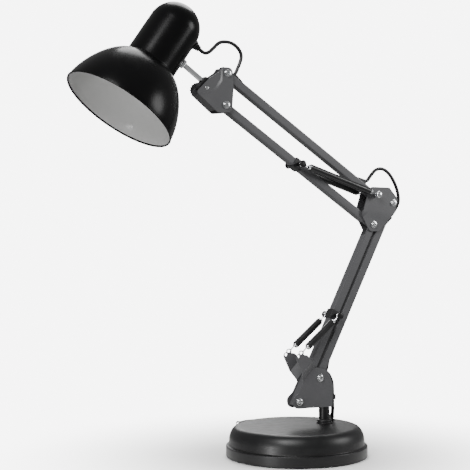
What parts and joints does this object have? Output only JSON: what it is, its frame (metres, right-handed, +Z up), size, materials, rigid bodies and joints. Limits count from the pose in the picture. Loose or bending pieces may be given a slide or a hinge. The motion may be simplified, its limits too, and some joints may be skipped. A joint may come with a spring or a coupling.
{
  "type": "swing arm desk lamp",
  "caption": "Desk lamp with a weighted round base, a swivelling spring-balanced parallelogram arm and a bell shade that tilts and turns on a rod.",
  "frame": {"origin": "centre of the base's underside, on the surface it stands on", "axes": "+Z up, +X in the arms' plane towards the elbow, with the shade towards -X; the arms move in the XZ plane"},
  "size_m": [0.4686, 0.269, 0.5623],
  "materials": {
    "black_enamel": "gloss",
    "grey_enamel": "satin",
    "zinc": "satin",
    "chrome": "mirror",
    "cast_iron": "matte",
    "foam": "matte",
    "cord": "satin",
    "spring_sleeve": "matte",
    "plastic": "satin",
    "lampholder": "gloss"
  },
  "bodies": {
    "base": {"base_cover": "black_enamel", "base_weight": "cast_iron", "base_pad": "foam", "stem_bush": "plastic", "mains_lead": "cord", "cord_coil": "cord", "cord_tie": "foam", "switch_lead": "cord", "switch_case": "plastic", "plug_lead": "cord", "mains_plug": "plastic"},
    "turret": {"stem": "black_enamel", "stem_nut": "zinc", "turret_bracket": "grey_enamel", "bolt_turret_front_pivot": "zinc", "nut_turret_front_pivot": "zinc", "bolt_turret_rear_pivot": "zinc", "nut_turret_rear_pivot": "zinc", "cord_clip": "plastic", "cord_foot_loop": "cord", "lower_spring_front": "spring_sleeve", "lower_spring_rear": "spring_sleeve"},
    "lower_left_link": {"lower_left_tube": "grey_enamel", "lower_spring_pin": "black_enamel", "lower_spring_clip": "plastic"},
    "lower_right_link": {"lower_right_tube": "grey_enamel", "cord_guide_foot": "plastic", "cord_guide_elbow_lower": "plastic"},
    "elbow": {"elbow_bracket": "grey_enamel", "bolt_elbow_top": "zinc", "nut_elbow_top": "zinc", "bolt_elbow_bottom": "zinc", "nut_elbow_bottom": "zinc", "bolt_elbow_right": "zinc", "nut_elbow_right": "zinc", "cord_elbow_loop": "cord", "upper_spring_front": "spring_sleeve", "upper_spring_rear": "spring_sleeve"},
    "upper_top_link": {"upper_top_tube": "grey_enamel", "cord_guide_elbow_upper": "plastic", "cord_guide_head": "plastic"},
    "upper_bottom_link": {"upper_bottom_tube": "grey_enamel", "upper_spring_pin": "black_enamel", "upper_spring_clip": "plastic"},
    "head": {"head_bracket": "grey_enamel", "bolt_head_top": "zinc", "nut_head_top": "zinc", "bolt_head_bottom": "zinc", "nut_head_bottom": "zinc", "clamp_stud": "zinc", "cord_head_loop": "cord"},
    "knuckle": {"tilt_block": "black_enamel", "shade_rod": "chrome"},
    "shade": {"shade": "black_enamel", "lampholder": "lampholder", "rod_nut_outer": "chrome", "rod_nut_inner": "zinc", "shade_cord_sleeve": "plastic"},
    "clamp_knob": {"clamp_knob": "plastic"},
    "switch_rocker": {"switch_rocker": "plastic"}
  },
  "joints": [
    {"name": "turret_swivel", "type": "hinge", "parent": "base", "child": "turret", "pos_m": [0.0423, 0, 0.0398], "axis": [0, 0, 1], "range_deg": [-170, 170], "deforming": ["mains_lead"]},
    {"name": "lower_arm", "type": "hinge", "parent": "turret", "child": "lower_right_link", "pos_m": [0.0315, 0, 0.0977], "axis": [0, -1, 0], "range_deg": [-2.5, 45], "deforming": ["cord_foot_loop", "lower_spring_front", "lower_spring_rear"]},
    {"name": "lower_arm_left", "type": "hinge", "parent": "turret", "child": "lower_left_link", "pos_m": [0, 0, 0.069], "axis": [0, -1, 0], "range_deg": [-2.5, 45]},
    {"name": "elbow_level", "type": "hinge", "parent": "lower_right_link", "child": "elbow", "pos_m": [0.14863, 0, 0.32308], "axis": [0, -1, 0], "range_deg": [-45, 2.5], "deforming": ["cord_elbow_loop"]},
    {"name": "upper_arm", "type": "hinge", "parent": "elbow", "child": "upper_top_link", "pos_m": [0.11903, 0, 0.33378], "axis": [0, -1, 0], "range_deg": [-35, 40], "deforming": ["upper_spring_front", "upper_spring_rear"]},
    {"name": "upper_arm_bottom", "type": "hinge", "parent": "elbow", "child": "upper_bottom_link", "pos_m": [0.11713, 0, 0.29438], "axis": [0, -1, 0], "range_deg": [-35, 40]},
    {"name": "head_level", "type": "hinge", "parent": "upper_top_link", "child": "head", "pos_m": [-0.1033, 0, 0.47982], "axis": [0, -1, 0], "range_deg": [-40, 35], "deforming": ["cord_head_loop"]},
    {"name": "head_tilt", "type": "hinge", "parent": "head", "child": "knuckle", "pos_m": [-0.131, 0, 0.46002], "axis": [0, -1, 0], "range_deg": [-45, 45]},
    {"name": "shade_turn", "type": "hinge", "parent": "knuckle", "child": "shade", "pos_m": [-0.16168, 0, 0.48972], "axis": [0.8156, 0, -0.5786], "range_deg": [-90, 90]},
    {"name": "knob_turn", "type": "hinge", "parent": "head", "child": "clamp_knob", "pos_m": [-0.131, 0.02, 0.46002], "axis": [0, 1, 0], "continuous": true},
    {"name": "rocker_tilt", "type": "hinge", "parent": "base", "child": "switch_rocker", "pos_m": [0.0991, 0.14365, 0.015], "axis": [0.49, 0.8717, 0], "range_deg": [-6, 6]}
  ],
  "couplings": [
    {"joint": "lower_arm_left", "follows": "lower_arm", "ratio": 1},
    {"joint": "elbow_level", "follows": "lower_arm", "ratio": -1},
    {"joint": "upper_arm_bottom", "follows": "upper_arm", "ratio": 1},
    {"joint": "head_level", "follows": "upper_arm", "ratio": -1}
  ]
}
